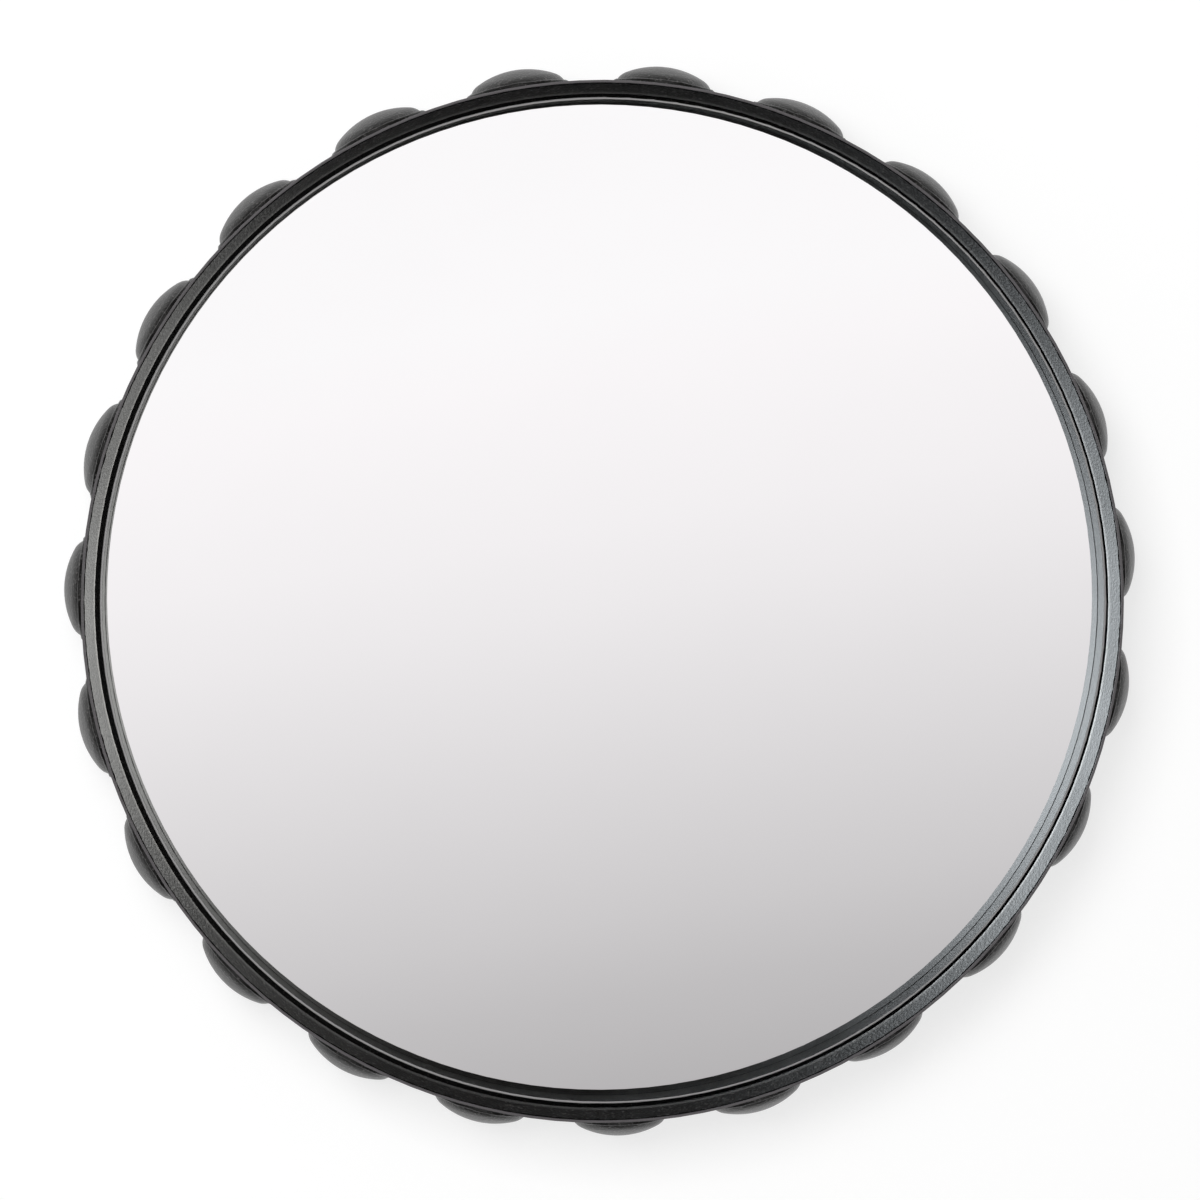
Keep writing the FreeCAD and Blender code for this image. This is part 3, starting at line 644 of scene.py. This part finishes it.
# World: the studio round the mirror. It is white to the camera and a quiet fill for matt surfaces.
# The glass sees a pale room that darkens downwards, the coat a dim one, and surfaces that are lit by way
# of another reflection see two bright panels, one at each side.

SWEEP_LEAN = -0.173       # the glass's gradient falls off a little sideways too
SWEEP_LOW, SWEEP_HIGH = -0.178, 0.012
SWEEP_TINT = (1.0, 0.985, 0.99)
SWEEP_FIRST = (0.36, 0.355, 0.357, 1)
SWEEP_LAST = (1.0, 0.995, 0.997, 1)
SWEEP = ((0.195, 0.49), (0.289, 0.555), (0.369, 0.63), (0.532, 0.755), (0.695, 0.88), (0.776, 0.93),
         (0.934, 0.99))
# Panels by clock angle, in degrees: 180 below, 270 at the left, 360 above and 450 at the right.
PANEL_BLUE = (0.92, 0.995, 1.03)
PANEL_WARM = (0.99, 1.0, 0.965)
PANEL_LEFT = ((205, 0.0), (222, 0.05), (240, 0.28), (262, 0.75), (282, 1.0), (300, 0.85), (318, 0.33),
              (335, 0.04), (350, 0.0))
PANEL_RIGHT = ((385, 0.0), (400, 0.02), (415, 0.09), (440, 0.50), (450, 0.62), (468, 0.34), (482, 0.22),
               (500, 0.02), (515, 0.0))
DARK = (0.0, 0.0, 0.0, 1)
# Room for the coat, from straight in front (0) to sideways (1).
ROOM = ((0.03, 0.65), (0.13, 0.03), (0.70, 0.06), (0.97, 0.7))
ROOM_FRONT = (0.75, 0.75, 0.75, 1)
ROOM_SIDE = (1, 1, 1, 1)
NO_TINT = (1.0, 1.0, 1.0)
FILL_LEVEL = 0.35
ONE_BOUNCE = 2.5          # rays below this depth have met one surface at most


def tint_stops(stops, tint):
    return [(at, tuple(level * share for share in tint) + (1,)) for at, level in stops]


def fill_ramp(ramp, first, stops, last):
    for at, colour in stops:
        ramp.elements.new(at).color = colour
    ramp.elements[0].color = first
    ramp.elements[-1].color = last


world = bpy.data.worlds.new("studio")
world.use_nodes = True
sky = world.node_tree
sky.nodes.clear()
way = add_node(sky, "ShaderNodeTexCoord").outputs["Generated"]
way_axes = add_node(sky, "ShaderNodeSeparateXYZ", {"Vector": way})

# What the glass shows: the sweep straight ahead, and a plain grey slope further to the sides.
lean = add_node(sky, "ShaderNodeMath", {
    0: way_axes.outputs["X"], 1: SWEEP_LEAN, 2: way_axes.outputs["Z"]}, operation="MULTIPLY_ADD")
slope = add_node(sky, "ShaderNodeMapRange", {
    "Value": lean.outputs["Value"], "From Min": SWEEP_LOW, "From Max": SWEEP_HIGH,
    "To Min": 0.0, "To Max": 1.0})
sweep = add_node(sky, "ShaderNodeValToRGB", {"Fac": slope.outputs["Result"]})
fill_ramp(sweep.color_ramp, SWEEP_FIRST, tint_stops(SWEEP, SWEEP_TINT), SWEEP_LAST)
sideways = add_node(sky, "ShaderNodeMapRange", {
    "Value": way_axes.outputs["Y"], "From Min": -0.85, "From Max": -0.5, "To Min": 0.0, "To Max": 1.0})
side_slope = add_node(sky, "ShaderNodeMapRange", {
    "Value": way_axes.outputs["Z"], "From Min": -0.5, "From Max": 0.15, "To Min": 0.38, "To Max": 0.84})
seen_colour = add_node(sky, "ShaderNodeMix", {
    "Factor": sideways.outputs["Result"], "A": sweep.outputs["Color"], "B": side_slope.outputs["Result"]},
    data_type="RGBA")
seen_sky = add_node(sky, "ShaderNodeBackground", {"Color": seen_colour.outputs["Result"]})

# The panels at the two sides, in front of the mirror: stronger further out, and dark in the middle.
clock = add_node(sky, "ShaderNodeMath", {
    0: way_axes.outputs["X"], 1: way_axes.outputs["Z"]}, operation="ARCTAN2")
clock_share = add_node(sky, "ShaderNodeMapRange", {
    "Value": clock.outputs["Value"], "From Min": -math.pi, "From Max": math.pi,
    "To Min": 0.0, "To Max": 1.0})
panels = add_node(sky, "ShaderNodeValToRGB", {"Fac": clock_share.outputs["Result"]})
panels.color_ramp.interpolation = "EASE"
panel_stops = tint_stops(PANEL_LEFT, PANEL_BLUE) + tint_stops(PANEL_RIGHT, PANEL_WARM)
clock_stops = [(((at - 180) % 360) / 360, colour) for at, colour in panel_stops]
fill_ramp(panels.color_ramp, DARK, clock_stops, DARK)
outward = add_node(sky, "ShaderNodeMapRange", {
    "Value": way_axes.outputs["Y"], "From Min": -0.995, "From Max": -0.65, "To Min": 3.3, "To Max": 6.5})
apart = add_node(sky, "ShaderNodeMath", {0: way_axes.outputs["X"]}, operation="ABSOLUTE")
split = add_node(sky, "ShaderNodeMapRange", {
    "Value": apart.outputs["Value"], "From Min": 0.10, "From Max": 0.34, "To Min": 0.0, "To Max": 1.0})
in_front = add_node(sky, "ShaderNodeMapRange", {
    "Value": way_axes.outputs["Y"], "From Min": -0.1, "From Max": -0.4, "To Min": 0.0, "To Max": 1.0})
panel_front = add_node(sky, "ShaderNodeMath", {
    0: outward.outputs["Result"], 1: in_front.outputs["Result"]}, operation="MULTIPLY")
panel_level = add_node(sky, "ShaderNodeMath", {
    0: panel_front.outputs["Value"], 1: split.outputs["Result"]}, operation="MULTIPLY")
panel_sky = add_node(sky, "ShaderNodeBackground", {
    "Color": panels.outputs["Color"], "Strength": panel_level.outputs["Value"]})

# What the coat shows: pale straight ahead and at the sides, dim between, and darker below at the back.
near = add_node(sky, "ShaderNodeMapRange", {
    "Value": way_axes.outputs["Y"], "From Min": -1.0, "From Max": 0.0, "To Min": 0.0, "To Max": 1.0})
around = add_node(sky, "ShaderNodeValToRGB", {"Fac": near.outputs["Result"]})
fill_ramp(around.color_ramp, ROOM_FRONT, tint_stops(ROOM, NO_TINT), ROOM_SIDE)
rear = add_node(sky, "ShaderNodeMapRange", {
    "Value": way_axes.outputs["Y"], "From Min": 0.0, "From Max": 0.15, "To Min": 0.0, "To Max": 1.0})
rear_slope = add_node(sky, "ShaderNodeMapRange", {
    "Value": way_axes.outputs["Z"], "From Min": -0.45, "From Max": 0.55, "To Min": 0.22, "To Max": 1.0})
rear_mix = add_node(sky, "ShaderNodeMix", {
    "Factor": rear.outputs["Result"], "A": around.outputs["Color"], "B": rear_slope.outputs["Result"]},
    data_type="RGBA")
coat_sky = add_node(sky, "ShaderNodeBackground", {"Color": rear_mix.outputs["Result"]})

# Each kind of ray gets its own.
fill_sky = add_node(sky, "ShaderNodeBackground", {"Color": (1, 1, 1, 1), "Strength": FILL_LEVEL})
white_sky = add_node(sky, "ShaderNodeBackground", {"Color": (1, 1, 1, 1)})
path = add_node(sky, "ShaderNodeLightPath")
first = add_node(sky, "ShaderNodeMath", {
    0: path.outputs["Ray Depth"], 1: ONE_BOUNCE}, operation="LESS_THAN")
deep_sky = add_node(sky, "ShaderNodeMixShader", {
    "Fac": first.outputs["Value"], 1: panel_sky.outputs["Background"], 2: coat_sky.outputs["Background"]})
sharp = add_node(sky, "ShaderNodeMath", {
    0: path.outputs["Is Singular Ray"], 1: first.outputs["Value"]}, operation="MULTIPLY")
shiny_sky = add_node(sky, "ShaderNodeMixShader", {
    "Fac": sharp.outputs["Value"], 1: deep_sky.outputs["Shader"], 2: seen_sky.outputs["Background"]})
lit_sky = add_node(sky, "ShaderNodeMixShader", {
    "Fac": path.outputs["Is Glossy Ray"], 1: fill_sky.outputs["Background"],
    2: shiny_sky.outputs["Shader"]})
whole_sky = add_node(sky, "ShaderNodeMixShader", {
    "Fac": path.outputs["Is Camera Ray"], 1: lit_sky.outputs["Shader"],
    2: white_sky.outputs["Background"]})
add_node(sky, "ShaderNodeOutputWorld", {"Surface": whole_sky.outputs["Shader"]})
bpy.context.scene.world = world
bpy.context.scene.view_settings.view_transform = "Standard"
